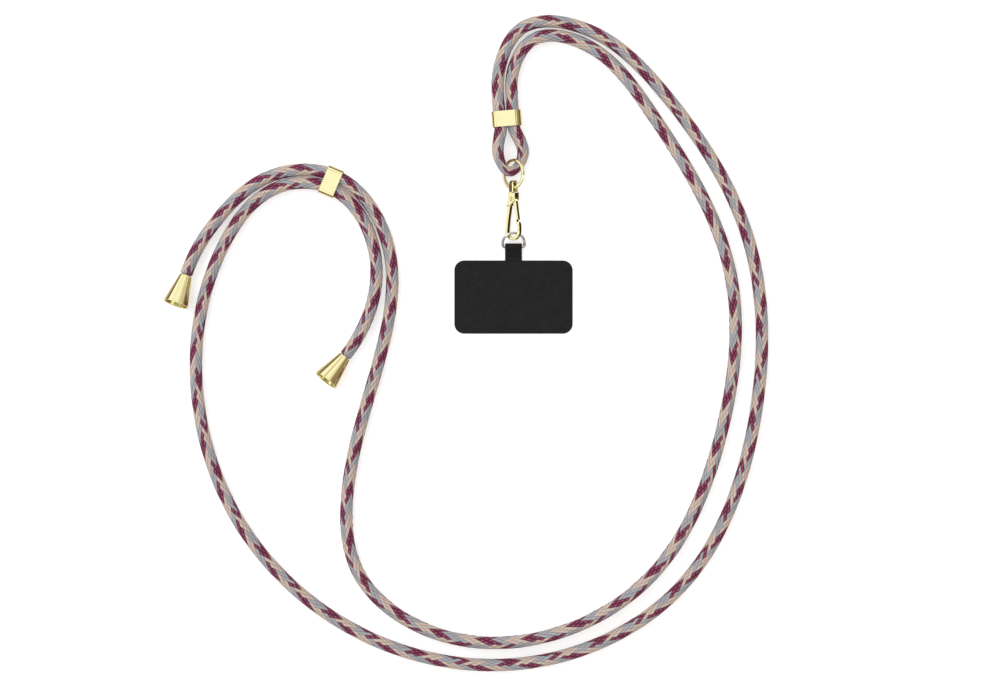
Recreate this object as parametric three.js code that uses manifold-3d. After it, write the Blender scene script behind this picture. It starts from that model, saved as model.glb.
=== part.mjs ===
// Crossbody strap for a phone, lying flat on a floor.
// A braided cord runs double round a big loop. Its fold holds a ring with a swivel snap hook,
// which carries a D-ring, a webbing tab and the flat patch that goes inside a phone case.
// Millimetres, +Z up, seen from above with the ring end towards +Y.
// The origin is on the floor under the middle of the patch and hook.
import * as THREE from "three";
import { mergeVertices } from "three/addons/utils/BufferGeometryUtils.js";
import Module from "manifold-3d";

const wasm = await Module();
wasm.setup();

// Shared clearances
const gap = 0.3;
const slide = 0.35;
const sliderPlay = 0.45;

// Cord
const cordRadius = 3.1;
const cordSides = 10;
const strandSpacing = 7.1;

// Sliders: flattened sleeves round two strands of the cord
const sliderLength = 8.2;
const sliderWall = 0.65;
const sliderCorner = 3.9;
const loopSlider = { x: -3.65, y: 66.9, heading: 94.7 };
const lengthSlider = { x: -95.7, y: 33.75, heading: -23 };

// End caps: polished cones on the cord's two ends
const capNarrowRadius = 3.4;
const capWideRadius = 6.8;
const capLength = 15.8;
const capSocketRadius = 2.7;
const capSocketDepth = 1;
const capRecessRadius = 5.9;
const capRecessDepth = 1.2;
const capHeadings = { a: 252, b: 232 };

// Cord ring
const ringRadius = 7.25;
const ringWireRadius = 0.85;
const ringTilt = 47;
const ringX = -0.1;
const ringY = 37.8;

// Swivel eye
const eyeThickness = 2.8;
const eyeWall = 0.8;
const eyeSlotLength = 2;
const eyeBaseHeight = 1;
const eyeEdge = 0.25;
const postRadius = 0.65;
const peenRadius = 1;
const peenHeight = 0.4;

// Snap hook, measured down its long axis from the top of its head
const hookPitch = 4.5;
const hookRoll = 42;
const hookLength = 25;
const hookHalfWidth = 4.9;
const hookThickness = 2.2;
const hookBarWidth = 1.5;
const hookEdge = 0.3;
const headHalfWidth = 2.45;
const headThickness = 3.5;
const headPlate = 0.7;
const headShoulder = 0.2;
const cheekShare = 0.15;

// Gate and its rivet
const gateThickness = 1.8;
const gateEyeRadius = 1.5;
const gateWidth = 1.15;
const gateReach = 14.1;
const gateTongue = 2;
const rivetRadius = 0.75;
const rivetX = -0.2;
const rivetProud = 0.15;
const gateEdge = 0.2;
const gateKnee = { x: 1.75, at: 0.3 };
const gateShoulderShare = 0.18;

// Nose: the free end of the hook, just below the gate's tip
const noseGap = 1.1;
const noseInset = 0.8;
const noseChamfer = { x: 0.25, y: 0.4 };
const noseRound = { start: 0.6, end: 2.2 };

// D-ring
const dRingWireRadius = 0.7;
const dRingHalfWidth = 5.75;
const dRingLeg = 1.85;
const dRingCorner = 1;
const dRingRoll = 2;
const dRingPlay = 2.3;

// Webbing tab and patch
const webbing = 0.8;
const tabWidth = 8.9;
const tabLooseness = 0.45;
const tabReach = 6.8;
const tabWrap = 120;
const tabTaper = 1.9;
const patchWidth = 62.2;
const patchLength = 38.5;
const patchThickness = 1.2;
const patchCorner = 5.2;
const patchEdge = 0.2;

// The cord's route from cap to cap, with the number of straight steps to the next point
const route = [
  { x: -171.8, y: -14.7, z: 3.35, steps: 2 },
  { x: -153.8, y: 16.1, z: 3.3, steps: 2 },
  { x: -129.9, y: 35.8, z: 3.3, steps: 4 },
  { x: -93.8, y: 37, z: 4.1, steps: 4 },
  { x: -66.4, y: 2.2, z: 3.3, steps: 3 },
  { x: -68.5, y: -51.9, z: 3.3, steps: 2 },
  { x: -86.9, y: -127, z: 3.3, steps: 2 },
  { x: -81.9, y: -170.5, z: 3.3, steps: 3 },
  { x: -45.4, y: -201.5, z: 3.3, steps: 2 },
  { x: 13.9, y: -205.6, z: 3.3, steps: 2 },
  { x: 71.7, y: -173.7, z: 3.3, steps: 2 },
  { x: 108.4, y: -100.7, z: 3.3, steps: 2 },
  { x: 113.7, y: -13.6, z: 3.3, steps: 3 },
  { x: 70.6, y: 72.5, z: 3.3, steps: 2 },
  { x: 34.9, y: 107.2, z: 3.3, steps: 3 },
  { x: 10.3, y: 108.4, z: 3.3, steps: 3 },
  { x: -1, y: 87.2, z: 3.5, steps: 1 },
  { x: -0.6, y: 72, z: 4.1, steps: 1 },
  { x: 0.2, y: 62.3, z: 4.1, steps: 2 },
  { x: 4.9, y: 47.9, z: 3.4, steps: 4 },
  { x: -2, y: 39, z: 5.4, steps: 4 },
  { x: -8, y: 47.9, z: 6.2, steps: 2 },
  { x: -6.7, y: 61.8, z: 4.1, steps: 1 },
  { x: -7.5, y: 71.5, z: 4.1, steps: 2 },
  { x: -6.9, y: 95.6, z: 3.3, steps: 3 },
  { x: 4.5, y: 114.5, z: 3.3, steps: 3 },
  { x: 32.8, y: 115.8, z: 3.3, steps: 2 },
  { x: 79, y: 80.4, z: 3.3, steps: 3 },
  { x: 122.6, y: 5.9, z: 3.3, steps: 2 },
  { x: 127.1, y: -88.1, z: 3.3, steps: 3 },
  { x: 85.9, y: -180.8, z: 3.3, steps: 2 },
  { x: 13.9, y: -217.7, z: 3.3, steps: 2 },
  { x: -71.6, y: -207.3, z: 3.3, steps: 3 },
  { x: -144.5, y: -144, z: 3.3, steps: 2 },
  { x: -166.7, y: -66.1, z: 3.3, steps: 2 },
  { x: -153, y: -1, z: 3.3, steps: 3 },
  { x: -124.1, y: 30.7, z: 3.3, steps: 3 },
  { x: -96.7, y: 30.8, z: 4.1, steps: 4 },
  { x: -72.4, y: -6.2, z: 3.3, steps: 3 },
  { x: -88.2, y: -57.4, z: 3.35, steps: 0 },
];

const radians = THREE.MathUtils.degToRad;
const gold = { color: 0xe3c878, roughness: 0.18, metalness: 1 };
const steel = { color: 0xb9bbbd, roughness: 0.25, metalness: 1 };
const braid = { color: 0xa98d93, roughness: 0.85, metalness: 0 };
const black = { color: 0x1b1b1c, roughness: 0.75, metalness: 0 };

// Booleans

function bare(geometry) {
  const copy = geometry.clone();
  copy.deleteAttribute("normal");
  copy.deleteAttribute("uv");
  return mergeVertices(copy, 1e-4);
}

function solid(geometry) {
  const merged = bare(geometry);
  const vertProperties = Float32Array.from(merged.attributes.position.array);
  const triVerts = Uint32Array.from(merged.index.array);
  return new wasm.Manifold(new wasm.Mesh({ numProp: 3, vertProperties, triVerts }));
}

function geometryOf(body) {
  const mesh = body.getMesh();
  const geometry = new THREE.BufferGeometry();
  geometry.setAttribute("position", new THREE.BufferAttribute(mesh.vertProperties, 3));
  geometry.setIndex(new THREE.BufferAttribute(mesh.triVerts, 1));
  geometry.computeVertexNormals();
  return geometry;
}

function part(name, geometry, look) {
  const mesh = new THREE.Mesh(geometry, new THREE.MeshStandardMaterial(look));
  mesh.name = name;
  return mesh;
}

// Shapes shared by several pieces

function circleShape(radius, sides) {
  const points = [];
  for (let side = 0; side < sides; side += 1) {
    const angle = ((side + 0.5) / sides) * 2 * Math.PI;
    points.push(new THREE.Vector2(radius * Math.cos(angle), radius * Math.sin(angle)));
  }
  return new THREE.Shape(points);
}

function roundedRectangle(width, height, corner, path = new THREE.Shape()) {
  const x = width / 2 - corner;
  const y = height / 2 - corner;
  path.absarc(x, y, corner, 0, Math.PI / 2);
  path.absarc(-x, y, corner, Math.PI / 2, Math.PI);
  path.absarc(-x, -y, corner, Math.PI, 1.5 * Math.PI);
  path.absarc(x, -y, corner, 1.5 * Math.PI, 2 * Math.PI);
  path.closePath();
  return path;
}

// A slab of the outline, centred on its own plane, with its edges eased
function plate(shape, thickness, edge, curveSegments = 10) {
  const geometry = new THREE.ExtrudeGeometry(shape, {
    depth: thickness - 2 * edge,
    bevelEnabled: edge > 0,
    bevelThickness: edge,
    bevelSize: edge,
    bevelOffset: -edge,
    bevelSegments: 2,
    curveSegments,
  });
  geometry.translate(0, 0, edge - thickness / 2);
  return geometry;
}

function pin(radius, length, sides = 24) {
  return new THREE.CylinderGeometry(radius, radius, length, sides);
}

// Cord

class CordCurve extends THREE.Curve {
  constructor(rows, startDirection, endDirection) {
    super();
    this.rows = rows;
    this.points = rows.map((row) => new THREE.Vector3(row.x, row.y, row.z));
    this.spans = this.points.slice(1).map((point, i) => point.distanceTo(this.points[i]));
    this.bends = this.solveBends(startDirection, endDirection);
    this.steps = rows.reduce((sum, row) => sum + row.steps, 0);
  }

  // Second derivatives at the points of a cubic spline with set directions at its ends
  solveBends(startDirection, endDirection) {
    const { points, spans } = this;
    const last = points.length - 1;
    const slopes = spans.map((span, i) => points[i + 1].clone().sub(points[i]).divideScalar(span));
    const before = [startDirection, ...slopes];
    const after = [...slopes, endDirection];
    const right = points.map((_, i) => after[i].clone().sub(before[i]).multiplyScalar(6));
    const middle = points.map((_, i) => 2 * ((spans[i - 1] ?? 0) + (spans[i] ?? 0)));
    for (let i = 1; i <= last; i += 1) {
      const factor = spans[i - 1] / middle[i - 1];
      middle[i] -= factor * spans[i - 1];
      right[i].addScaledVector(right[i - 1], -factor);
    }
    const bends = right;
    bends[last].divideScalar(middle[last]);
    for (let i = last - 1; i >= 0; i -= 1) {
      bends[i].addScaledVector(bends[i + 1], -spans[i]).divideScalar(middle[i]);
    }
    return bends;
  }

  getPoint(t, target = new THREE.Vector3()) {
    const last = this.points.length - 1;
    const i = Math.min(Math.floor(t * last), last - 1);
    const far = t * last - i;
    const near = 1 - far;
    const share = (this.spans[i] * this.spans[i]) / 6;
    target.set(0, 0, 0);
    target.addScaledVector(this.points[i], near);
    target.addScaledVector(this.points[i + 1], far);
    target.addScaledVector(this.bends[i], share * (near ** 3 - near));
    target.addScaledVector(this.bends[i + 1], share * (far ** 3 - far));
    return target;
  }

  // Spreads the steps along the route as the rows say, instead of evenly
  getUtoTmapping(u) {
    let left = u * this.steps;
    let i = 0;
    while (i < this.rows.length - 2 && left > this.rows[i].steps) {
      left -= this.rows[i].steps;
      i += 1;
    }
    return Math.min(1, (i + left / this.rows[i].steps) / (this.rows.length - 1));
  }
}

function flatDirection(heading) {
  return new THREE.Vector3(Math.cos(radians(heading)), Math.sin(radians(heading)), 0);
}

function makeCord() {
  const leaving = flatDirection(capHeadings.a).negate();
  const arriving = flatDirection(capHeadings.b);
  const curve = new CordCurve(route, leaving, arriving);
  const section = circleShape(cordRadius, cordSides);
  const geometry = new THREE.ExtrudeGeometry(section, { steps: curve.steps, extrudePath: curve });
  return part("cord", geometry, braid);
}

// Sliders

function makeSlider(name, place) {
  const boreHeight = 2 * (cordRadius + sliderPlay);
  const boreWidth = strandSpacing + boreHeight;
  const width = boreWidth + 2 * sliderWall;
  const height = boreHeight + 2 * sliderWall;
  const shape = roundedRectangle(width, height, sliderCorner);
  const boreCorner = sliderCorner - sliderWall;
  shape.holes.push(roundedRectangle(boreWidth, boreHeight, boreCorner, new THREE.Path()));
  const geometry = plate(shape, sliderLength, 0, 8);
  geometry.rotateX(Math.PI / 2);
  const mesh = part(name, geometry, gold);
  mesh.position.set(place.x, place.y, height / 2);
  mesh.rotation.z = radians(place.heading - 90);
  return mesh;
}

// End caps, each lying on the side of its cone

function makeCap(name, end, heading) {
  const profile = [
    new THREE.Vector2(0, capSocketDepth),
    new THREE.Vector2(capSocketRadius, capSocketDepth),
    new THREE.Vector2(capSocketRadius, 0),
    new THREE.Vector2(capNarrowRadius, 0),
    new THREE.Vector2(capWideRadius, capLength),
    new THREE.Vector2(capRecessRadius, capLength),
    new THREE.Vector2(capRecessRadius, capLength - capRecessDepth),
    new THREE.Vector2(0, capLength - capRecessDepth),
  ];
  const geometry = new THREE.LatheGeometry(profile, 40);
  geometry.rotateZ(-Math.PI / 2);
  const lean = Math.atan((capWideRadius - capNarrowRadius) / capLength);
  geometry.rotateY(-lean);
  const mesh = part(name, geometry, gold);
  const lift = capNarrowRadius * Math.cos(lean);
  const leanIn = capNarrowRadius * Math.sin(lean);
  const place = flatDirection(heading).multiplyScalar(gap + leanIn);
  mesh.position.set(end.x + place.x, end.y + place.y, lift);
  mesh.rotation.z = radians(heading);
  return mesh;
}

// Ring through the cord's fold, its left side on the floor and its right side raised

function makeRing() {
  const geometry = bare(new THREE.TorusGeometry(ringRadius, ringWireRadius, 12, 44));
  geometry.computeVertexNormals();
  const mesh = part("cord_ring", geometry, gold);
  mesh.position.set(ringX, ringY, claspHeight);
  mesh.rotation.y = -radians(ringTilt);
  return mesh;
}

// Clasp: everything on the swivel axis, in a frame whose origin is the foot of the ring
// and whose Y axis runs up the axis to the ring

const claspY = ringY - ringRadius;
const claspHeight = ringRadius * Math.sin(radians(ringTilt)) + ringWireRadius;

function claspFrame() {
  const frame = new THREE.Group();
  frame.position.set(ringX, claspY, claspHeight);
  frame.rotation.x = radians(hookPitch);
  return frame;
}

const eyeSlotRadius = ringWireRadius + slide;
const eyeBottom = -(eyeSlotRadius + eyeBaseHeight);
const headTop = eyeBottom - gap;
const peenTop = headTop - headPlate - gap;

function makeEye() {
  const half = eyeSlotRadius + eyeWall;
  const outline = new THREE.Shape();
  outline.moveTo(half, eyeBottom);
  outline.lineTo(half, eyeSlotLength);
  outline.absarc(0, eyeSlotLength, half, 0, Math.PI);
  outline.lineTo(-half, eyeBottom);
  outline.closePath();
  const slot = new THREE.Path();
  slot.absarc(0, eyeSlotLength, eyeSlotRadius, 0, Math.PI);
  slot.absarc(0, 0, eyeSlotRadius, Math.PI, 2 * Math.PI);
  slot.closePath();
  outline.holes.push(slot);
  const loop = plate(outline, eyeThickness, eyeEdge, 12);
  loop.rotateY(radians(90 - ringTilt));
  const postLength = eyeBottom - peenTop + eyeBaseHeight / 2;
  const post = pin(postRadius, postLength);
  post.translate(0, peenTop + postLength / 2, 0);
  const peen = pin(peenRadius, peenHeight);
  peen.translate(0, peenTop - peenHeight / 2, 0);
  const eye = solid(loop).add(solid(post)).add(solid(peen));
  return part("swivel_eye", geometryOf(eye), gold);
}

// Hook body: a head with two cheeks, a spine, a round bow and a nose

const gateSlot = gateThickness + 2 * gap;
const rivetHole = rivetRadius + gap;
const cavityDepth = headPlate + gap + peenHeight + gap;
const rivetDrop = cavityDepth + gateEyeRadius;
const bowDrop = hookLength - hookHalfWidth;
const noseDrop = gateReach + noseGap;

// Spine edges at shares of the hook's length, in shares of its half width
const spine = [
  { at: 0.16, outer: -0.58, inner: -0.02 },
  { at: 0.28, outer: -0.72, inner: -0.27 },
  { at: 0.55, outer: -0.88, inner: -0.53 },
];

function headShape() {
  const shape = new THREE.Shape();
  shape.moveTo(-headHalfWidth, 0);
  shape.lineTo(headHalfWidth, 0);
  shape.lineTo(headHalfWidth, -cheekShare * hookLength);
  shape.lineTo(spine[1].inner * hookHalfWidth, -spine[1].at * hookLength);
  shape.lineTo(spine[1].outer * hookHalfWidth, -spine[1].at * hookLength);
  shape.lineTo(-headHalfWidth - headShoulder, -spine[0].at * hookLength);
  shape.closePath();
  return shape;
}

function bowShape() {
  const outer = hookHalfWidth;
  const inner = hookHalfWidth - hookBarWidth;
  const shape = new THREE.Shape();
  shape.moveTo(spine[0].inner * outer, -spine[0].at * hookLength);
  spine.slice(1).forEach((row) => shape.lineTo(row.inner * outer, -row.at * hookLength));
  shape.absellipse(0, -bowDrop, inner, outer - hookBarWidth, Math.PI, 2 * Math.PI, false, 0);
  shape.lineTo(inner, -noseDrop - noseChamfer.y);
  shape.lineTo(inner + noseChamfer.x, -noseDrop);
  shape.lineTo(outer - noseInset, -noseDrop);
  shape.quadraticCurveTo(outer, -noseDrop - noseRound.start, outer, -noseDrop - noseRound.end);
  shape.absellipse(0, -bowDrop, outer, outer, 0, -Math.PI, true, 0);
  [...spine].reverse().forEach((row) => shape.lineTo(row.outer * outer, -row.at * hookLength));
  shape.closePath();
  return shape;
}

function makeHookBody() {
  const head = solid(plate(headShape(), headThickness, hookEdge));
  const bow = solid(plate(bowShape(), hookThickness, hookEdge, 14));
  const slotShape = new THREE.Shape();
  slotShape.moveTo(rivetX - gateEyeRadius - gap, -headPlate - gap);
  slotShape.lineTo(2 * headHalfWidth, -headPlate - gap);
  slotShape.lineTo(2 * headHalfWidth, -spine[2].at * hookLength);
  slotShape.lineTo(spine[1].inner * hookHalfWidth + gap, -spine[1].at * hookLength);
  slotShape.lineTo(rivetX - gateEyeRadius - gap, -rivetDrop - gateEyeRadius);
  slotShape.closePath();
  const slot = solid(plate(slotShape, gateSlot, 0));
  const postHole = pin(postRadius + gap, 4 * headPlate);
  const cavity = pin(peenRadius + slide, cavityDepth - headPlate);
  cavity.translate(0, -(headPlate + cavityDepth) / 2, 0);
  const rivetBore = pin(rivetHole, 2 * headThickness);
  rivetBore.rotateX(Math.PI / 2);
  rivetBore.translate(rivetX, -rivetDrop, 0);
  let body = head.add(bow).subtract(slot).subtract(solid(postHole));
  body = body.subtract(solid(cavity)).subtract(solid(rivetBore));
  return part("hook_body", geometryOf(body), gold);
}

function makeGate() {
  const tipOuter = hookHalfWidth - noseInset;
  const tipInner = tipOuter - gateWidth - slide;
  const tongueOuter = hookHalfWidth - hookBarWidth - slide;
  const shape = new THREE.Shape();
  shape.absarc(rivetX, -rivetDrop, gateEyeRadius, radians(10), radians(250));
  shape.lineTo(gateKnee.x, -gateKnee.at * hookLength);
  shape.lineTo(tipInner, -gateReach);
  shape.lineTo(tipInner, -gateReach - gateTongue);
  shape.lineTo(tongueOuter, -gateReach - gateTongue);
  shape.lineTo(tongueOuter, -gateReach);
  shape.lineTo(tipOuter, -gateReach);
  shape.lineTo(headHalfWidth, -gateShoulderShare * hookLength);
  shape.closePath();
  const bore = pin(rivetHole, 2 * gateThickness);
  bore.rotateX(Math.PI / 2);
  bore.translate(rivetX, -rivetDrop, 0);
  const gate = solid(plate(shape, gateThickness, gateEdge)).subtract(solid(bore));
  return part("gate", geometryOf(gate), gold);
}

function makeRivet() {
  const geometry = pin(rivetRadius, headThickness + 2 * rivetProud);
  geometry.rotateX(Math.PI / 2);
  const mesh = part("gate_rivet", geometry, gold);
  mesh.position.set(rivetX, -rivetDrop, 0);
  return mesh;
}

function makeClasp() {
  const frame = claspFrame();
  frame.add(makeEye());
  const hook = new THREE.Group();
  hook.position.y = headTop;
  hook.rotation.y = -radians(hookRoll);
  hook.add(makeHookBody(), makeGate(), makeRivet());
  frame.add(hook);
  return frame;
}

// D-ring: one bent wire whose ends meet in the middle of the bar, inside the webbing.
// Its top hangs in the hook's bow, at the height of the hook's axis there.

const tabHole = dRingWireRadius + tabLooseness;
const tabRadius = tabHole + webbing;
const bowFloor = headTop - hookLength + hookBarWidth;
const dRingReach = dRingLeg + dRingHalfWidth;
const dRingTopY = claspY + bowFloor * Math.cos(radians(hookPitch)) + dRingPlay;
const dRingTopZ = claspHeight - (claspY - dRingTopY) * Math.tan(radians(hookPitch));
const dRingPitch = Math.asin((dRingTopZ - tabRadius) / dRingReach);
const dRingY = dRingTopY - dRingReach * Math.cos(dRingPitch);

class WireCurve extends THREE.Curve {
  constructor(points) {
    super();
    this.points = points;
  }

  getPoint(t, target = new THREE.Vector3()) {
    const last = this.points.length - 1;
    const i = Math.min(Math.floor(t * last), last - 1);
    return target.lerpVectors(this.points[i], this.points[i + 1], t * last - i);
  }

  getUtoTmapping(u) {
    return u;
  }
}

function dRingPoints() {
  const half = dRingHalfWidth;
  const points = [new THREE.Vector3(gap / 2, 0, 0)];
  const cornerSteps = 4;
  for (let step = 0; step <= cornerSteps; step += 1) {
    const angle = (step / cornerSteps - 1) * (Math.PI / 2);
    const x = half - dRingCorner + dRingCorner * Math.cos(angle);
    const y = dRingCorner + dRingCorner * Math.sin(angle);
    points.push(new THREE.Vector3(x, y, 0));
  }
  const arcSteps = 9;
  for (let step = 0; step <= arcSteps; step += 1) {
    const angle = (step / arcSteps) * (Math.PI / 2);
    points.push(new THREE.Vector3(half * Math.cos(angle), dRingLeg + half * Math.sin(angle), 0));
  }
  const mirrored = points.slice(0, -1).reverse();
  mirrored.forEach((point) => points.push(new THREE.Vector3(-point.x, point.y, 0)));
  return points;
}

function makeDRing() {
  const curve = new WireCurve(dRingPoints());
  const section = circleShape(dRingWireRadius, 12);
  const steps = curve.points.length - 1;
  const geometry = new THREE.ExtrudeGeometry(section, { steps, extrudePath: curve });
  const mesh = part("d_ring", geometry, steel);
  mesh.position.set(0, dRingY, tabRadius);
  mesh.rotation.set(dRingPitch, radians(dRingRoll), 0);
  return mesh;
}

// Webbing tab: a strip folded round the D-ring's bar, its two layers running to the patch

const tail = dRingY - tabReach;
const patchTop = tail - gap;

function makeTab() {
  const shape = new THREE.Shape();
  shape.moveTo(tail, 0);
  shape.absarc(dRingY, tabRadius, tabRadius, -Math.PI / 2, radians(tabWrap));
  shape.lineTo(dRingY - tabTaper * tabRadius, 2 * webbing);
  shape.lineTo(tail, 2 * webbing);
  shape.closePath();
  const hole = new THREE.Path();
  hole.absarc(dRingY, tabRadius, tabHole, 0, 2 * Math.PI);
  shape.holes.push(hole);
  const geometry = plate(shape, tabWidth, 0, 16);
  const turn = new THREE.Matrix4().makeBasis(
    new THREE.Vector3(0, 1, 0),
    new THREE.Vector3(0, 0, 1),
    new THREE.Vector3(1, 0, 0),
  );
  geometry.applyMatrix4(turn);
  return part("webbing_tab", geometry, black);
}

// Patch: the flat sheet that goes inside the phone's case

function makePatch() {
  const shape = roundedRectangle(patchWidth, patchLength, patchCorner);
  const mesh = part("phone_patch", plate(shape, patchThickness, patchEdge), black);
  mesh.position.set(0, patchTop - patchLength / 2, patchThickness / 2);
  return mesh;
}

const strap = new THREE.Group();
strap.add(makeCord());
strap.add(makeSlider("loop_slider", loopSlider));
strap.add(makeSlider("length_slider", lengthSlider));
strap.add(makeCap("end_cap_a", route[0], capHeadings.a));
strap.add(makeCap("end_cap_b", route[route.length - 1], capHeadings.b));
strap.add(makeRing());
strap.add(makeClasp());
strap.add(makeDRing());
strap.add(makeTab());
strap.add(makePatch());

export default strap;
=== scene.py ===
# Looks for the phone crossbody strap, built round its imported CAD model.
# Sizes are in millimetres, turned into metres where meshes are made; +Z is up.
import math

import bmesh
import bpy
import numpy as np
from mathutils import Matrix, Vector


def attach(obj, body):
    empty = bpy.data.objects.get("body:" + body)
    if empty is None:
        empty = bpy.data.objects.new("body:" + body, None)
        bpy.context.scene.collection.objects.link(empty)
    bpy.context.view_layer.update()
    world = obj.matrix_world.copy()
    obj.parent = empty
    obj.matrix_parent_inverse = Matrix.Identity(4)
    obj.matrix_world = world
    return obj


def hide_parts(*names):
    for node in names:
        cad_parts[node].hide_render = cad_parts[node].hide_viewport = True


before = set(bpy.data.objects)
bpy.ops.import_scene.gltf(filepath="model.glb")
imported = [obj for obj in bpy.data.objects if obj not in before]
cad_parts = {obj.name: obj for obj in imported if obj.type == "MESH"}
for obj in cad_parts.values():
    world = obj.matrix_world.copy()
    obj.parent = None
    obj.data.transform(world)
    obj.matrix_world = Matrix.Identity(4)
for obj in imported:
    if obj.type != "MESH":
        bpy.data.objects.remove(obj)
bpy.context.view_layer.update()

MM = 0.001

# Camera: straight down
VIEW_CENTRE = (-7.1, -50.8)
VIEW_WIDTH = 525.0
LENS = 100.0
SENSOR = 36.0

# Cord
# Its radius over the stitches, and how long one turn of a strand is
CORD_RADIUS = 3.4
LAY = 49.55
STRANDS = 11
# Each lattice cell is split in so many, and its stitch stands out by the relief
CELL_SPLITS = 3
CELL_NUDGE = 0.02
RELIEF = 0.34
FLOOR_CLEARANCE = 0.03
SPLINE_SAMPLES = 60
LIE_SAMPLES = 4000
TANGENT_REACH = 0.5

# Half steps of the lattice round the cord, and how many of them each column of stitches takes
ROUND = 2 * STRANDS
COLUMNS = (3, 3, 3, 3, 3, 3, 2, 2)

# The cord's route from cap to cap, as in the CAD source: x, y, z
ROUTE = [
    (-171.8, -14.7, 3.35),
    (-153.8, 16.1, 3.3),
    (-129.9, 35.8, 3.3),
    (-93.8, 37, 4.1),
    (-66.4, 2.2, 3.3),
    (-68.5, -51.9, 3.3),
    (-86.9, -127, 3.3),
    (-81.9, -170.5, 3.3),
    (-45.4, -201.5, 3.3),
    (13.9, -205.6, 3.3),
    (71.7, -173.7, 3.3),
    (108.4, -100.7, 3.3),
    (113.7, -13.6, 3.3),
    (70.6, 72.5, 3.3),
    (34.9, 107.2, 3.3),
    (10.3, 108.4, 3.3),
    (-1, 87.2, 3.5),
    (-0.6, 72, 4.1),
    (0.2, 62.3, 4.1),
    (4.9, 47.9, 3.4),
    (-2, 39, 5.4),
    (-8, 47.9, 6.2),
    (-6.7, 61.8, 4.1),
    (-7.5, 71.5, 4.1),
    (-6.9, 95.6, 3.3),
    (4.5, 114.5, 3.3),
    (32.8, 115.8, 3.3),
    (79, 80.4, 3.3),
    (122.6, 5.9, 3.3),
    (127.1, -88.1, 3.3),
    (85.9, -180.8, 3.3),
    (13.9, -217.7, 3.3),
    (-71.6, -207.3, 3.3),
    (-144.5, -144, 3.3),
    (-166.7, -66.1, 3.3),
    (-153, -1, 3.3),
    (-124.1, 30.7, 3.3),
    (-96.7, 30.8, 4.1),
    (-72.4, -6.2, 3.3),
    (-88.2, -57.4, 3.35),
]
# Headings towards the caps in degrees, the route's point in the fold, and the reach into a cap
CAP_HEADINGS = (252, 232)
FOLD_POINT = 20
CAP_REACH = 0.9

# How the braid lies along the cord: distance from the first cap's mouth, slip, roll in degrees
BRAID_LIE = [
    (0, 28.1, -2),
    (80, 28.0, 3),
    (130, 27.3, 5),
    (270, 27.5, 5),
    (350, 26.8, 14),
    (430, 26.8, 10),
    (500, 26.5, 16),
    (585, 27.0, 12),
    (700, 26.7, 14),
    (780, 26.3, 12),
    (825, 26.7, 12),
    (860, 25.4, 2),
    (900, 23.5, 2),
    (945, 20.6, 3),
    (980, 21.3, -4),
    (1060, 20.4, -6),
    (1180, 20.1, -3),
    (1400, 20.6, -6),
    (1500, 20.5, -6),
    (1700, 19.9, -3),
    (1800, 20.0, -2),
    (1850, 19.5, 2),
    (1900, 18.6, 8),
    (1968, 18.4, 10),
]
# Degrees added to the roll all along the cord
BRAID_ROLL = 4

# How thin the cord is pulled: distance from the fold or from an end, share of its radius
FOLD_PINCH = [(0, 0.78), (6, 0.8), (14, 0.95), (22, 1)]
END_PINCH = [(0, 0.74), (0.5, 0.78), (1.2, 0.97), (2.2, 1)]

# Colours of the strands that lean each way, over one lay of the braid
BURGUNDY, GREY, BEIGE = 0, 1, 2
LEFT_COLOURS = (0, 0, 1, 1, 2, 2, 0, 0, 1, 2, 2)
RIGHT_COLOURS = (0, 1, 1, 2, 2, 0, 0, 1, 1, 2, 2)
RIGHT_START = 2
# Each yarn's colour in a gap (painted shade), on a stitch's side and on its crown (painted
# highlight), and those heights
YARNS = {
    BURGUNDY: ("burgundy_yarn", [(0.045, 0.003, 0.016), (0.12, 0.01, 0.04), (0.33, 0.07, 0.15)]),
    GREY: ("grey_yarn", [(0.19, 0.19, 0.21), (0.30, 0.305, 0.335), (0.36, 0.36, 0.39)]),
    BEIGE: ("beige_yarn", [(0.33, 0.25, 0.22), (0.48, 0.39, 0.335), (0.56, 0.46, 0.38)]),
}
CROWN_STOPS = (0.1, 0.55, 0.88)
# Where a noise's usual values begin and end
NOISE_LOW, NOISE_HIGH = 0.3, 0.7
# Fibres in a yarn: how fine they are across and along a strand, and their tones
FIBRE_SCALE = (9.0, 1.1, 1.0)
FIBRE_STOPS = (0.32, 0.55, 0.75)
FIBRE_CONTRAST = (0.74, 1.0, 1.22)
FIBRE_NOISE = {"Scale": 1.0, "Detail": 3.0, "Roughness": 0.65}
FIBRE_BUMP = {"Strength": 0.5, "Distance": 0.00012}
YARN_SHADER = {
    "Roughness": 0.68,
    "Sheen Weight": 0.12,
    "Sheen Roughness": 0.5,
    "Specular IOR Level": 0.22,
}

# How a stitch rises from its edges to its middle, as powers of a sine, and the share of its arch
STRAND_ROUND = 0.7
BEAD_ROUND = 0.6
ARCH_ROUND = 0.4
ARCH_SHARE = 0.25

# Webbing tab, folded round the D-ring's bar: its middle line in y and z
TAB_WIDTH = 8.9
TAB_THICKNESS = 0.8
TAB_HIDDEN_THICKNESS = 0.45
BAR_Y = -0.3
BAR_Z = 1.95
TAB_BEND = 1.53
TAB_BELOW = [(-9.6, 0.42), (-8.2, 0.42), (-7.0, 0.42), (-3.6, 0.42)]
TAB_ABOVE = [(-2.6, 2.1), (-4.0, 1.32), (-5.2, 1.18), (-7.0, 1.16), (-8.2, 0.84), (-9.6, 0.8)]
# The bend's part of a circle in degrees: first, last, step
TAB_WRAP = (-90, 120, 15)
# Where the strip thins as it goes into the patch, and the round of its edges
TAB_THINS = (-8.6, -7.0)
TAB_EDGE = 0.3
TAB_EDGE_ANGLES = (0.6, 1.2, math.pi / 2, 1.95, 2.5)
TAB_THREAD = 0.5
TAB_WEAVE = 0.05
TAB_STEPS = 4
TAB_SMOOTHING = 4

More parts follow.
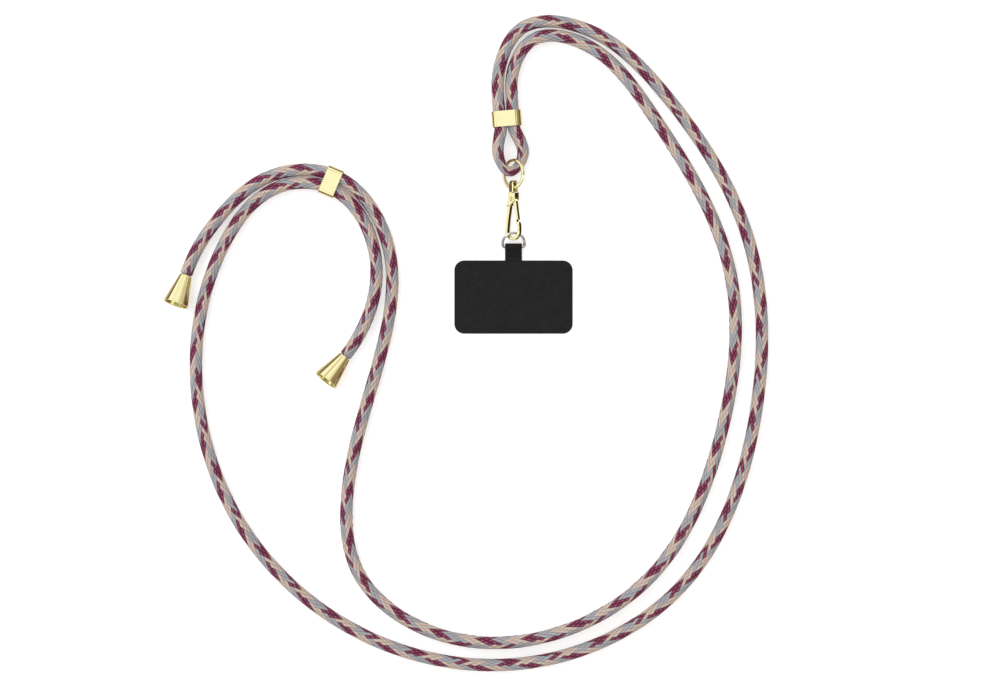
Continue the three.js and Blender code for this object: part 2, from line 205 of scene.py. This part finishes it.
# The row of stitches sewn across the tab
TAB_STITCHES = 8
STITCH_Y = -5.3
STITCH_MARGIN = 0.7
STITCH_SHARE = 0.8
STITCH_BASE = 1.46
STITCH_RISE = 0.16
STITCH_THICKNESS = 0.14
STITCH_END = 0.35
STITCH_SIDES = 8
STITCH_SPANS = 8

# Black cloth: colour, thread width in metres and bump of the tab and of the patch
TAB_CLOTH = ("black_webbing", (0.0065, 0.0065, 0.007), 0.0005, 0.3)
PATCH_CLOTH = ("black_patch_cloth", (0.0085, 0.0085, 0.009), 0.0004, 0.25)
CLOTH_TONES = (0.75, 1.3)
CLOTH_MOTTLE = {"Scale": 420.0, "Detail": 4.0, "Roughness": 0.6}
CLOTH_RELIEF = 0.00015
CLOTH_SHADER = {"Roughness": 0.78, "Specular IOR Level": 0.16, "Sheen Weight": 0.02}
# Width in metres of a thread in a wave texture of scale 1
WAVE_THREAD = 0.157
WAVE_WANDER = 0.6

# Metals: colour and roughness
GOLD = ("polished_pale_gold", (0.94, 0.87, 0.5), 0.09)
STEEL = ("polished_steel", (0.5, 0.505, 0.515), 0.14)
SMUDGE = {"Scale": 260.0, "Detail": 4.0, "Roughness": 0.55}
SMUDGE_TONE = 0.95
SMUDGE_ROUGHNESS = (0.7, 1.4)
HAIRLINE_SCALE = (300.0, 2600.0, 300.0)
HAIRLINE_NOISE = {"Scale": 1.0, "Detail": 2.0, "Roughness": 0.5}
HAIRLINE_BUMP = {"Strength": 0.03, "Distance": 0.0001}
# Painted shade in the corners of a metal piece: how far a corner reaches into its faces, and the
# shade's tones from deep to open
CREVICE = 4.0
CREVICE_SAMPLES = 8
PAINTED_CREVICE_SHADE_TONES = [(0.4, (0.18, 0.15, 0.1)), (0.8, (1.0, 1.0, 1.0))]
SMOOTH_ANGLE = 35
GOLD_NODES = (
    "loop_slider",
    "length_slider",
    "end_cap_a",
    "end_cap_b",
    "cord_ring",
    "swivel_eye",
    "hook_body",
    "gate",
    "gate_rivet",
)

# Patch
PATCH_WIDTH = 62.2
PATCH_LENGTH = 38.5
PATCH_TOP_Y = -7.4
PATCH_CORNER = 5.2
PATCH_CORNER_STEPS = 12
PATCH_FACE_INSET = 4.0
# Its edge, two sheets bonded together: distance in from the outline, height
PATCH_EDGE = [
    (0.4, 0.0),
    (0.12, 0.07),
    (0.0, 0.26),
    (0.0, 0.5),
    (0.1, 0.6),
    (0.0, 0.7),
    (0.0, 0.94),
    (0.12, 1.13),
    (0.4, 1.2),
]

# Floor, which glows a little as a light table does
FLOOR_HALF = 4000.0
FLOOR_GLOW = 0.55
FLOOR_GRAIN = {"Scale": 120.0, "Detail": 2.0}
FLOOR_TONES = [(NOISE_LOW, (0.53, 0.53, 0.53)), (NOISE_HIGH, (0.57, 0.57, 0.57))]
FLOOR_SHADER = {
    "Roughness": 0.9,
    "Specular IOR Level": 0.1,
    "Emission Color": (1, 1, 1, 1),
    "Emission Strength": FLOOR_GLOW,
}

# Soft lights in metres and watts: name, place, size, power
LIGHT_TARGET = (0, -0.05, 0)
LIGHTS = [
    ("key", (-0.9, 0.9, 1.4), (1.2, 0.8), 14),
    ("fill", (1.2, -0.6, 1.2), (1.0, 1.0), 6),
]

# The studio's tone by height, from 0 straight down over 0.5 at the horizon to 1 straight up
STUDIO_STRENGTH = 1.1
STUDIO_TONES = [
    (0.0, (0.75, 0.66, 0.5)),
    (0.2, (0.7, 0.6, 0.45)),
    (0.34, (0.1, 0.08, 0.06)),
    (0.46, (0.08, 0.06, 0.04)),
    (0.5, (0.8, 0.78, 0.74)),
    (0.56, (1.0, 1.0, 1.0)),
    (0.75, (1.0, 1.0, 1.0)),
    (0.79, (0.6, 0.5, 0.36)),
    (0.83, (1.0, 1.0, 1.0)),
]
# Darker flags on one side of the studio: the cosine towards that side, and brightness
FLAG_DIRECTION = (0.95, -0.2, 0.25)
FLAG_TONES = [
    (0.34, (1.0, 1.0, 1.0)),
    (0.38, (0.4, 0.33, 0.26)),
    (0.42, (1.0, 1.0, 1.0)),
    (0.58, (1.0, 1.0, 1.0)),
    (0.62, (0.2, 0.15, 0.1)),
    (0.7, (0.3, 0.24, 0.18)),
    (0.74, (0.95, 0.95, 0.95)),
    (0.82, (0.9, 0.88, 0.85)),
    (0.87, (0.32, 0.24, 0.16)),
    (1.0, (0.28, 0.21, 0.14)),
]


def direction(heading):
    angle = math.radians(heading)
    return np.array([math.cos(angle), math.sin(angle), 0.0])


def cord_line():
    """Points along the clamped cubic spline through the route."""
    points = np.array(ROUTE, float)
    spans = np.linalg.norm(np.diff(points, axis=0), axis=1)
    count = len(points)
    slopes = np.diff(points, axis=0) / spans[:, None]
    before = np.vstack([-direction(CAP_HEADINGS[0]), slopes])
    after = np.vstack([slopes, direction(CAP_HEADINGS[1])])
    matrix = np.zeros((count, count))
    for i, span in enumerate(spans):
        matrix[i, i] += 2 * span
        matrix[i + 1, i + 1] += 2 * span
        matrix[i, i + 1] += span
        matrix[i + 1, i] += span
    bends = np.linalg.solve(matrix, 6 * (after - before))
    far = np.linspace(0, 1, SPLINE_SAMPLES, endpoint=False)[:, None]
    near = 1 - far
    pieces = []
    for i, span in enumerate(spans):
        share = span * span / 6
        pieces.append(
            points[i] * near
            + points[i + 1] * far
            + bends[i] * share * (near**3 - near)
            + bends[i + 1] * share * (far**3 - far)
        )
    pieces.append(points[-1:])
    return np.vstack(pieces)


def reach_into_caps(line):
    """The line with a short straight stretch added into each cap's socket."""
    first = line[0] + direction(CAP_HEADINGS[0]) * CAP_REACH
    last = line[-1] + direction(CAP_HEADINGS[1]) * CAP_REACH
    return np.vstack([first, line, last])


def distances_along(line):
    return np.concatenate([[0], np.cumsum(np.linalg.norm(np.diff(line, axis=0), axis=1))])


LINE = reach_into_caps(cord_line())
ALONG = distances_along(LINE)


# Helpers


def material(name, values):
    """A new material, its node tree, and its shader with the given values set."""
    made = bpy.data.materials.new(name)
    made.use_nodes = True
    shader = made.node_tree.nodes["Principled BSDF"]
    for key, value in values.items():
        shader.inputs[key].default_value = value
    return made, made.node_tree, shader


def node(tree, kind, **values):
    made = tree.nodes.new(kind)
    for key, value in values.items():
        if key in made.inputs:
            made.inputs[key].default_value = value
        else:
            setattr(made, key, value)
    return made


def link(tree, source, output, target, entry):
    tree.links.new(source.outputs[output], target.inputs[entry])


def ramp(tree, stops):
    """A colour ramp from (position, colour) rows."""
    made = node(tree, "ShaderNodeValToRGB")
    elements = made.color_ramp.elements
    while len(elements) < len(stops):
        elements.new(0.5)
    for element, (position, colour) in zip(elements, stops):
        element.position = position
        element.color = tuple(colour) + (1,)
    return made


def multiply(tree, first, second, target, entry):
    """Send the product of two colours to an input."""
    product = node(tree, "ShaderNodeVectorMath", operation="MULTIPLY")
    tree.links.new(first.outputs["Color"], product.inputs[0])
    tree.links.new(second.outputs["Color"], product.inputs[1])
    link(tree, product, "Vector", target, entry)


def bumps(tree, source, output, shader, values):
    """Send a texture's height to the shader's normal."""
    bump = node(tree, "ShaderNodeBump", **values)
    link(tree, source, output, bump, "Height")
    link(tree, bump, "Normal", shader, "Normal")


def shade(colour, factor):
    return tuple(min(1.0, part * factor) for part in colour)


def mesh_object(name, vertices, faces, looks, face_slots=None, smooth=True):
    """A mesh from points in millimetres, one material slot for each look."""
    mesh = bpy.data.meshes.new(name)
    mesh.from_pydata((np.asarray(vertices, float) * MM).tolist(), [], faces)
    for look in looks:
        mesh.materials.append(look)
    if face_slots is not None:
        mesh.polygons.foreach_set("material_index", face_slots)
    mesh.polygons.foreach_set("use_smooth", [smooth] * len(mesh.polygons))
    mesh.update()
    made = bpy.data.objects.new(name, mesh)
    bpy.context.scene.collection.objects.link(made)
    return made


def tube_faces(rows, count, first=0):
    """Faces between neighbouring rings of points, each ring with the same count."""
    faces = []
    for row in range(rows - 1):
        for place in range(count):
            after = (place + 1) % count
            low = first + row * count
            faces.append((low + place, low + after, low + count + after, low + count + place))
    return faces


# Camera


def make_camera():
    camera = bpy.data.cameras.new("camera")
    camera.lens = LENS
    camera.sensor_width = SENSOR
    holder = bpy.data.objects.new("camera", camera)
    height = VIEW_WIDTH * LENS / SENSOR
    holder.location = (VIEW_CENTRE[0] * MM, VIEW_CENTRE[1] * MM, (height + CORD_RADIUS) * MM)
    bpy.context.scene.collection.objects.link(holder)
    bpy.context.scene.camera = holder


# Cord


def yarn_material(name, colours):
    """Soft filament yarn: fibres along the stitch, with painted shade in the gaps between stitches
    and a painted highlight on their crowns.
    """
    made, tree, shader = material(name, YARN_SHADER)
    places = node(tree, "ShaderNodeTexCoord")
    fibres = node(tree, "ShaderNodeMapping", Scale=FIBRE_SCALE)
    link(tree, places, "UV", fibres, "Vector")
    streaks = node(tree, "ShaderNodeTexNoise", **FIBRE_NOISE)
    link(tree, fibres, "Vector", streaks, "Vector")
    tones = ramp(tree, [(stop, (share,) * 3) for stop, share in zip(FIBRE_STOPS, FIBRE_CONTRAST)])
    link(tree, streaks, "Fac", tones, "Fac")
    # Painted shade and highlight: the yarn darkens towards the gaps and pales on each stitch's crown,
    # by its height
    crown = node(tree, "ShaderNodeAttribute", attribute_name="crown")
    painted_stitch_light = ramp(tree, list(zip(CROWN_STOPS, colours)))
    link(tree, crown, "Fac", painted_stitch_light, "Fac")
    multiply(tree, painted_stitch_light, tones, shader, "Base Color")
    bumps(tree, streaks, "Fac", shader, FIBRE_BUMP)
    return made


def column_table():
    """For each half step round the cord: its column, where that starts and how wide it is."""
    starts, widths, columns = [], [], []
    start = 0
    for column, width in enumerate(COLUMNS):
        for _ in range(width):
            columns.append(column)
            starts.append(start)
            widths.append(width)
        start += width
    return np.array(columns), np.array(starts), np.array(widths)


COLUMN_OF, COLUMN_START, COLUMN_WIDTH = column_table()


def strand_numbers(along, turn):
    """The left and right leaning strands at a lattice place, counted in cells."""
    return (turn - along) / (2.0 * CELL_SPLITS), (turn + along) / (2.0 * CELL_SPLITS)


def swell(share, power):
    """From 0 at both ends to 1 in the middle, flatter with a smaller power."""
    return np.clip(np.sin(math.pi * share), 0, 1) ** power


def stitch_height(left, right):
    """How far a stitch stands out at a point inside a cell, from 0 in a gap to 1."""
    cell = (np.floor(left) + np.floor(right) + 1).astype(int) % ROUND
    leans_right = COLUMN_OF[cell] % 2 == 0
    place = cell - COLUMN_START[cell]
    across = np.where(leans_right, right, left) % 1
    inside = np.where(leans_right, left, right) % 1
    lengthwise = (place + inside) / COLUMN_WIDTH[cell]
    arch = swell(lengthwise, ARCH_ROUND)
    bead = swell(inside, BEAD_ROUND)
    return swell(across, STRAND_ROUND) * (ARCH_SHARE * arch + (1 - ARCH_SHARE) * bead)


def crown_heights(along, turn):
    """The mean stitch height of the cells that meet at each lattice point."""
    left, right = strand_numbers(along, turn)
    heights = [
        stitch_height(left + side, right + end)
        for side in (-CELL_NUDGE, CELL_NUDGE)
        for end in (-CELL_NUDGE, CELL_NUDGE)
    ]
    return np.mean(heights, axis=0)


def lie_along():
    """Fine lattice steps along the cord, and the distance of each from the first cap."""
    rows = np.array(BRAID_LIE, float)
    fine = LAY / (ROUND * CELL_SPLITS)
    distance = np.linspace(0, ALONG[-1], LIE_SAMPLES)
    from_mouth = distance - CAP_REACH
    steps = (from_mouth - np.interp(from_mouth, rows[:, 0], rows[:, 1])) / fine
    numbers = np.arange(math.ceil(steps[0]), math.floor(steps[-1]) + 1)
    return numbers, np.interp(numbers, steps, distance)


def cord_frames(distance):
    """Centre, sideways and upward directions at distances along the cord."""

    def at(place):
        return np.stack([np.interp(place, ALONG, LINE[:, axis]) for axis in range(3)], 1)

    tangent = at(distance + TANGENT_REACH) - at(distance - TANGENT_REACH)
    tangent /= np.linalg.norm(tangent, axis=1)[:, None]
    side = np.cross(np.array([0, 0, 1.0]), tangent)
    side /= np.linalg.norm(side, axis=1)[:, None]
    return at(distance), side, np.cross(tangent, side)


def cord_radii(distance):
    """The cord's radius at each distance: less in the fold and where it enters a cap."""
    from_fold = np.abs(distance - ALONG[FOLD_POINT * SPLINE_SAMPLES + 1])
    from_end = np.minimum(distance, ALONG[-1] - distance)
    in_fold = np.interp(from_fold, *np.transpose(FOLD_PINCH))
    at_ends = np.interp(from_end, *np.transpose(END_PINCH))
    return CORD_RADIUS * (in_fold * at_ends)


def braid_surface(numbers, distances):
    """Points where step and turn add to an even number, and the cells between them."""
    around = ROUND * CELL_SPLITS
    step, turn = np.meshgrid(np.arange(len(numbers)), np.arange(around), indexing="ij")
    real = (numbers[step] + turn) % 2 == 0
    ids = np.full(step.shape, -1)
    ids[real] = np.arange(real.sum())
    inner = ~real[1:-1]
    cell_step, cell_turn = step[1:-1][inner], turn[1:-1][inner]
    before, after = (cell_turn - 1) % around, (cell_turn + 1) % around
    corners = [
        ids[cell_step - 1, cell_turn],
        ids[cell_step, before],
        ids[cell_step + 1, cell_turn],
        ids[cell_step, after],
    ]
    step, turn = step[real], turn[real]
    crown = crown_heights(numbers[step], turn)
    centre, side, up = cord_frames(distances)
    rolls = np.array(BRAID_LIE, float)
    roll = np.radians(np.interp(distances, rolls[:, 0], rolls[:, 2]) + BRAID_ROLL)
    angle = turn * 2 * math.pi / around + roll[step]
    radius = cord_radii(distances)[step] - RELIEF * (1 - crown)
    spread = side[step] * np.cos(angle)[:, None] + up[step] * np.sin(angle)[:, None]
    points = centre[step] + radius[:, None] * spread
    points[:, 2] = np.maximum(points[:, 2], FLOOR_CLEARANCE)
    return points, np.stack(corners, 1), crown, numbers[cell_step], cell_turn


def cell_looks(along, turn):
    """Each cell's yarn colour, and whether its top strand leans right."""
    left, right = strand_numbers(along, turn)
    left = np.floor(left).astype(int)
    right = np.floor(right).astype(int)
    leans_right = COLUMN_OF[(left + right + 1) % ROUND] % 2 == 0
    left_colours = np.array(LEFT_COLOURS)[-left % STRANDS]
    right_colours = np.array(RIGHT_COLOURS)[(right - RIGHT_START) % STRANDS]
    return np.where(leans_right, right_colours, left_colours), leans_right


def stitch_map(along, turn, leans_right):
    """Map coordinates for each cell's corners: across its strand, then along it."""
    rows = []
    for step, side in ((-1, 0), (0, -1), (1, 0), (0, 1)):
        left, right = strand_numbers(along + step, turn + side)
        across = np.where(leans_right, right, left)
        lengthwise = np.where(leans_right, left, right)
        rows.append(np.stack([across, lengthwise], 1))
    return np.stack(rows, 1)


def close_ends(made):
    shape = bmesh.new()
    shape.from_mesh(made.data)
    ends = [edge for edge in shape.edges if edge.is_boundary]
    bmesh.ops.holes_fill(shape, edges=ends, sides=0)
    bmesh.ops.recalc_face_normals(shape, faces=shape.faces)
    shape.to_mesh(made.data)
    shape.free()


def make_cord():
    numbers, distances = lie_along()
    points, cells, crown, along, turn = braid_surface(numbers, distances)
    colours, leans_right = cell_looks(along, turn)
    looks = [yarn_material(*YARNS[colour]) for colour in (BURGUNDY, GREY, BEIGE)]
    cord = mesh_object("braided_cord", points, cells.tolist(), looks, colours.tolist())
    heights = cord.data.attributes.new("crown", "FLOAT", "POINT")
    heights.data.foreach_set("value", crown.astype(np.float32))
    sheet = cord.data.uv_layers.new(name="stitches")
    sheet.data.foreach_set("uv", stitch_map(along, turn, leans_right).astype(np.float32).ravel())
    close_ends(cord)
    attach(cord, "strap")
    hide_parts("cord")


# Metals


def metal_material(name, colour, roughness):
    """Polished plating with faint smudges and hairline polishing marks, and painted shade darkening
    its corners and crevices.
    """
    made, tree, shader = material(name, {"Metallic": 1.0})
    places = node(tree, "ShaderNodeTexCoord")
    smudge = node(tree, "ShaderNodeTexNoise", **SMUDGE)
    link(tree, places, "Object", smudge, "Vector")
    tones = ramp(tree, [(NOISE_LOW, shade(colour, SMUDGE_TONE)), (NOISE_HIGH, colour)])
    link(tree, smudge, "Fac", tones, "Fac")
    # Painted shade: the base colour darkens where nearby faces hide a point, in corners and crevices
    corners = node(
        tree,
        "ShaderNodeAmbientOcclusion",
        samples=CREVICE_SAMPLES,
        only_local=True,
        Distance=CREVICE * MM,
    )
    painted_crevice_shade = ramp(tree, PAINTED_CREVICE_SHADE_TONES)
    link(tree, corners, "AO", painted_crevice_shade, "Fac")
    multiply(tree, tones, painted_crevice_shade, shader, "Base Color")
    spread = node(tree, "ShaderNodeMapRange")
    spread.inputs["To Min"].default_value = roughness * SMUDGE_ROUGHNESS[0]
    spread.inputs["To Max"].default_value = roughness * SMUDGE_ROUGHNESS[1]
    link(tree, smudge, "Fac", spread, "Value")
    link(tree, spread, "Result", shader, "Roughness")
    stretch = node(tree, "ShaderNodeMapping", Scale=HAIRLINE_SCALE)
    link(tree, places, "Object", stretch, "Vector")
    hairlines = node(tree, "ShaderNodeTexNoise", **HAIRLINE_NOISE)
    link(tree, stretch, "Vector", hairlines, "Vector")
    bumps(tree, hairlines, "Fac", shader, HAIRLINE_BUMP)
    return made


def dress(name, look):
    """Give a CAD node its material, smooth across its blunt edges."""
    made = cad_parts[name]
    made.data.materials.clear()
    made.data.materials.append(look)
    made.data.polygons.foreach_set("use_smooth", [True] * len(made.data.polygons))
    with bpy.context.temp_override(object=made, active_object=made, selected_editable_objects=[made]):
        bpy.ops.object.shade_smooth_by_angle(angle=math.radians(SMOOTH_ANGLE))


def dress_metals():
    gold = metal_material(*GOLD)
    steel = metal_material(*STEEL)
    for name in GOLD_NODES:
        dress(name, gold)
    dress("d_ring", steel)


# Webbing tab


def woven_material(name, colour, thread, strength):
    """Black cloth: crossed threads of the given width in metres, with uneven tone."""
    made, tree, shader = material(name, CLOTH_SHADER)
    places = node(tree, "ShaderNodeTexCoord")
    uneven = node(tree, "ShaderNodeTexNoise", **CLOTH_MOTTLE)
    link(tree, places, "Object", uneven, "Vector")
    dark, pale = [shade(colour, tone) for tone in CLOTH_TONES]
    tones = ramp(tree, [(NOISE_LOW, dark), (NOISE_HIGH, pale)])
    link(tree, uneven, "Fac", tones, "Fac")
    link(tree, tones, "Color", shader, "Base Color")
    waves = []
    for way in ("X", "Y"):
        wave = node(tree, "ShaderNodeTexWave", Scale=WAVE_THREAD / thread, Distortion=WAVE_WANDER)
        wave.bands_direction = way
        link(tree, places, "Object", wave, "Vector")
        waves.append(wave)
    cross = node(tree, "ShaderNodeMath", operation="MULTIPLY")
    tree.links.new(waves[0].outputs["Fac"], cross.inputs[0])
    tree.links.new(waves[1].outputs["Fac"], cross.inputs[1])
    bumps(tree, cross, "Value", shader, {"Strength": strength, "Distance": CLOTH_RELIEF})
    return made


def tab_line():
    """The strip's middle line from the patch, round the D-ring's bar and back, finely stepped."""
    first, last, step = TAB_WRAP
    bend = []
    for degrees in range(first, last + 1, step):
        angle = math.radians(degrees)
        bend.append((BAR_Y + TAB_BEND * math.cos(angle), BAR_Z + TAB_BEND * math.sin(angle)))
    line = np.array(TAB_BELOW + bend + TAB_ABOVE)
    far = distances_along(line)
    places = np.arange(0, far[-1], TAB_THREAD / TAB_STEPS)
    fine = np.stack([np.interp(places, far, line[:, axis]) for axis in range(2)], 1)
    kernel = np.hanning(2 * TAB_SMOOTHING + 1)
    kernel /= kernel.sum()
    padded = np.vstack([fine[:1]] * TAB_SMOOTHING + [fine] + [fine[-1:]] * TAB_SMOOTHING)
    smooth = np.stack([np.convolve(padded[:, axis], kernel, "valid") for axis in range(2)], 1)
    return places, smooth


def tab_section(columns):
    """Round the strip's section: side across, and which face, as rows of x and -1 to 1."""
    half = TAB_WIDTH / 2
    across = np.linspace(-half + TAB_EDGE, half - TAB_EDGE, columns)
    top = [(x, 1.0) for x in across]
    turn = [(half - TAB_EDGE * (1 - math.sin(angle)), math.cos(angle)) for angle in TAB_EDGE_ANGLES]
    bottom = [(x, -1.0) for x in across[::-1]]
    back = [(-x, -face) for x, face in turn]
    return np.array(top + turn + bottom + back)


def tab_points(section):
    """The strip's surface: one ring of points for each step along its middle line."""
    places, line = tab_line()
    tangent = np.gradient(line, axis=0)
    tangent /= np.linalg.norm(tangent, axis=1)[:, None]
    outward = np.stack([tangent[:, 1], -tangent[:, 0]], 1)
    thickness = np.interp(line[:, 0], TAB_THINS, (TAB_HIDDEN_THICKNESS, TAB_THICKNESS))
    woven = np.sin(math.pi * section[:, 0] / TAB_THREAD)[None, :]
    woven = woven * np.sin(math.pi * places / TAB_THREAD)[:, None]
    height = (thickness[:, None] / 2 - TAB_WEAVE * (1 - woven)) * section[:, 1][None, :]
    points = np.zeros((len(line), len(section), 3))
    points[:, :, 0] = section[:, 0]
    points[:, :, 1] = line[:, 0][:, None] + outward[:, 0][:, None] * height
    points[:, :, 2] = line[:, 1][:, None] + outward[:, 1][:, None] * height
    points[:, :, 2] = np.maximum(points[:, :, 2], FLOOR_CLEARANCE / 2)
    return points


def make_tab():
    section = tab_section(TAB_STEPS * int(TAB_WIDTH / TAB_THREAD) + 1)
    points = tab_points(section)
    vertices = points.reshape(-1, 3).tolist()
    faces = tube_faces(len(points), len(section))
    add_stitches(vertices, faces)
    look = woven_material(*TAB_CLOTH)
    tab = mesh_object("woven_tab", vertices, faces, [look])
    close_ends(tab)
    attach(tab, "hook")
    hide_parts("webbing_tab")


def add_stitches(vertices, faces):
    """The sewn row that closes the fold: short thread arcs across the strip."""
    pitch = (TAB_WIDTH - 2 * STITCH_MARGIN) / TAB_STITCHES
    for stitch in range(TAB_STITCHES):
        first = len(vertices)
        start = -TAB_WIDTH / 2 + STITCH_MARGIN + pitch * (stitch + (1 - STITCH_SHARE) / 2)
        for span in range(STITCH_SPANS + 1):
            share = span / STITCH_SPANS
            arc = max(0.0, math.sin(math.pi * share)) ** 0.5
            x = start + pitch * STITCH_SHARE * share
            z = STITCH_BASE + STITCH_RISE * arc
            width = STITCH_THICKNESS * (STITCH_END + (1 - STITCH_END) * arc)
            for side in range(STITCH_SIDES):
                angle = 2 * math.pi * side / STITCH_SIDES
                vertices.append((x, STITCH_Y + width * math.cos(angle), z + width * math.sin(angle)))
        faces.extend(tube_faces(STITCH_SPANS + 1, STITCH_SIDES, first))


# Patch


def patch_outline(inset):
    """Points round the patch's rounded rectangle, moved in from its edge."""
    corner = PATCH_CORNER - inset
    half_x = PATCH_WIDTH / 2 - inset
    half_y = PATCH_LENGTH / 2 - inset
    middle_y = PATCH_TOP_Y - PATCH_LENGTH / 2
    corners = [(1, 1, 0), (-1, 1, 90), (-1, -1, 180), (1, -1, 270)]
    points = []
    for sign_x, sign_y, start in corners:
        for step in range(PATCH_CORNER_STEPS + 1):
            angle = math.radians(start + 90 * step / PATCH_CORNER_STEPS)
            x = sign_x * (half_x - corner) + corner * math.cos(angle)
            y = middle_y + sign_y * (half_y - corner) + corner * math.sin(angle)
            points.append((x, y))
    return points


def make_patch():
    back, front = PATCH_EDGE[0][1], PATCH_EDGE[-1][1]
    rows = [(PATCH_FACE_INSET, back)] + PATCH_EDGE + [(PATCH_FACE_INSET, front)]
    vertices = [(x, y, height) for inset, height in rows for x, y in patch_outline(inset)]
    faces = tube_faces(len(rows), len(vertices) // len(rows))
    look = woven_material(*PATCH_CLOTH)
    patch = mesh_object("phone_patch_sheet", vertices, faces, [look])
    close_ends(patch)
    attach(patch, "hook")
    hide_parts("phone_patch")


# Floor and light


def make_floor():
    made, tree, shader = material("floor", FLOOR_SHADER)
    places = node(tree, "ShaderNodeTexCoord")
    grain = node(tree, "ShaderNodeTexNoise", **FLOOR_GRAIN)
    link(tree, places, "Object", grain, "Vector")
    tones = ramp(tree, FLOOR_TONES)
    link(tree, grain, "Fac", tones, "Fac")
    link(tree, tones, "Color", shader, "Base Color")
    corners = [(x * FLOOR_HALF, y * FLOOR_HALF, 0) for x, y in ((-1, -1), (1, -1), (1, 1), (-1, 1))]
    floor = mesh_object("floor", corners, [(0, 1, 2, 3)], [made], smooth=False)
    floor.visible_glossy = False


def area_light(name, place, size, power):
    lamp = bpy.data.lights.new(name, "AREA")
    lamp.shape = "RECTANGLE"
    lamp.size, lamp.size_y = size
    lamp.energy = power
    holder = bpy.data.objects.new(name, lamp)
    holder.location = place
    aim = Vector(LIGHT_TARGET) - Vector(place)
    holder.rotation_euler = aim.to_track_quat("-Z", "Y").to_euler()
    bpy.context.scene.collection.objects.link(holder)


def make_world():
    """A white tent with dark flags on one side, which polished metal reflects as dark bands."""
    world = bpy.data.worlds.new("studio")
    world.use_nodes = True
    tree = world.node_tree
    back = tree.nodes["Background"]
    back.inputs["Strength"].default_value = STUDIO_STRENGTH
    places = node(tree, "ShaderNodeTexCoord")
    split = node(tree, "ShaderNodeSeparateXYZ")
    link(tree, places, "Generated", split, "Vector")
    height = node(tree, "ShaderNodeMapRange")
    height.inputs["From Min"].default_value = -1.0
    link(tree, split, "Z", height, "Value")
    tones = ramp(tree, STUDIO_TONES)
    link(tree, height, "Result", tones, "Fac")
    towards = node(tree, "ShaderNodeVectorMath", operation="DOT_PRODUCT")
    link(tree, places, "Generated", towards, "Vector")
    towards.inputs[1].default_value = Vector(FLAG_DIRECTION).normalized()
    flags = ramp(tree, FLAG_TONES)
    link(tree, towards, "Value", flags, "Fac")
    multiply(tree, tones, flags, back, "Color")
    bpy.context.scene.world = world


make_camera()
make_cord()
dress_metals()
make_tab()
make_patch()
make_floor()
make_world()
for light in LIGHTS:
    area_light(*light)
bpy.context.scene.view_settings.view_transform = "Standard"
